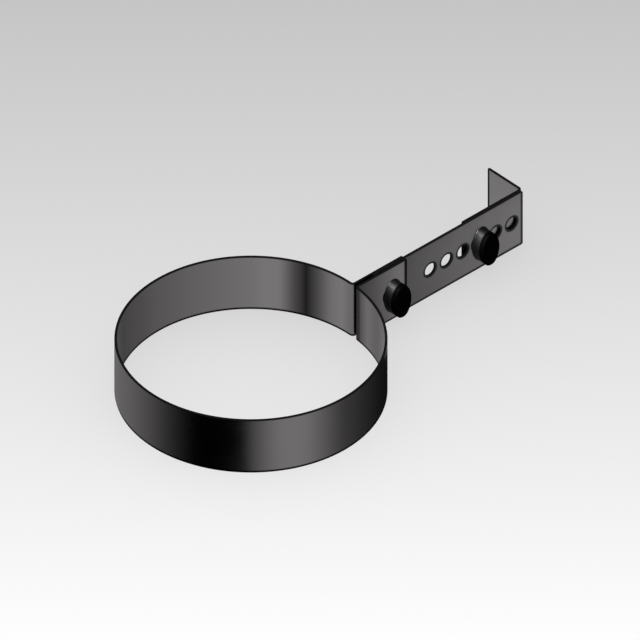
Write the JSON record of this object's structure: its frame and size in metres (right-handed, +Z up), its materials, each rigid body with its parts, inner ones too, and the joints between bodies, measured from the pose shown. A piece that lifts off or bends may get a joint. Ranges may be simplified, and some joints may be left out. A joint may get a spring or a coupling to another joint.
{
  "type": "wall pipe collar",
  "caption": "Sheet steel ring that clamps round a stove pipe, held off the wall by an adjusting strap with a row of holes and an angle bracket, set by thumb knobs.",
  "frame": {"origin": "on the pipe's axis, at half the height of the ring", "axes": "+Z up along the pipe, +X from the pipe to the wall, knobs at -Y"},
  "size_m": [0.282, 0.153, 0.037],
  "materials": {
    "sheet": "satin dark anthracite stove paint",
    "knob": "black moulded plastic, slightly satin",
    "fastener": "black zinc"
  },
  "bodies": {
    "collar": {"collar_band": "sheet", "clamp_nut": "fastener"},
    "arm": {"adjusting_strap": "sheet"},
    "bracket": {"wall_bracket": "sheet", "bracket_nut": "fastener"},
    "clamp_washer_slider": {"clamp_washer": "fastener"},
    "clamp_screw": {"clamp_knob": "knob", "clamp_stud": "fastener"},
    "bracket_washer_slider": {"bracket_washer": "fastener"},
    "bracket_screw": {"bracket_knob": "knob", "bracket_stud": "fastener"}
  },
  "joints": [
    {"name": "arm_tilt", "type": "hinge", "parent": "collar", "child": "arm", "pos_m": [0.1015, -0.004, 0], "axis": [0, -1, 0], "range_deg": [-90, 90]},
    {"name": "bracket_tilt", "type": "hinge", "parent": "arm", "child": "bracket", "pos_m": [0.1705, -0.004, 0], "axis": [0, -1, 0], "range_deg": [-180, 180]},
    {"name": "clamp_screw_travel", "type": "slide", "parent": "collar", "child": "clamp_washer_slider", "axis": [0, -1, 0], "range_m": [0, 0.0031]},
    {"name": "clamp_knob_turn", "type": "hinge", "parent": "clamp_washer_slider", "child": "clamp_screw", "pos_m": [0.1015, -0.004, 0], "axis": [0, -1, 0], "range_deg": [0, 1080]},
    {"name": "bracket_screw_travel", "type": "slide", "parent": "arm", "child": "bracket_washer_slider", "axis": [0, -1, 0], "range_m": [0, 0.0031]},
    {"name": "bracket_knob_turn", "type": "hinge", "parent": "bracket_washer_slider", "child": "bracket_screw", "pos_m": [0.1705, -0.004, 0], "axis": [0, -1, 0], "range_deg": [0, 1080]}
  ],
  "couplings": [
    {"joint": "clamp_screw_travel", "follows": "clamp_knob_turn", "m_per_rad": 0.00015915},
    {"joint": "bracket_screw_travel", "follows": "bracket_knob_turn", "m_per_rad": 0.00015915}
  ]
}
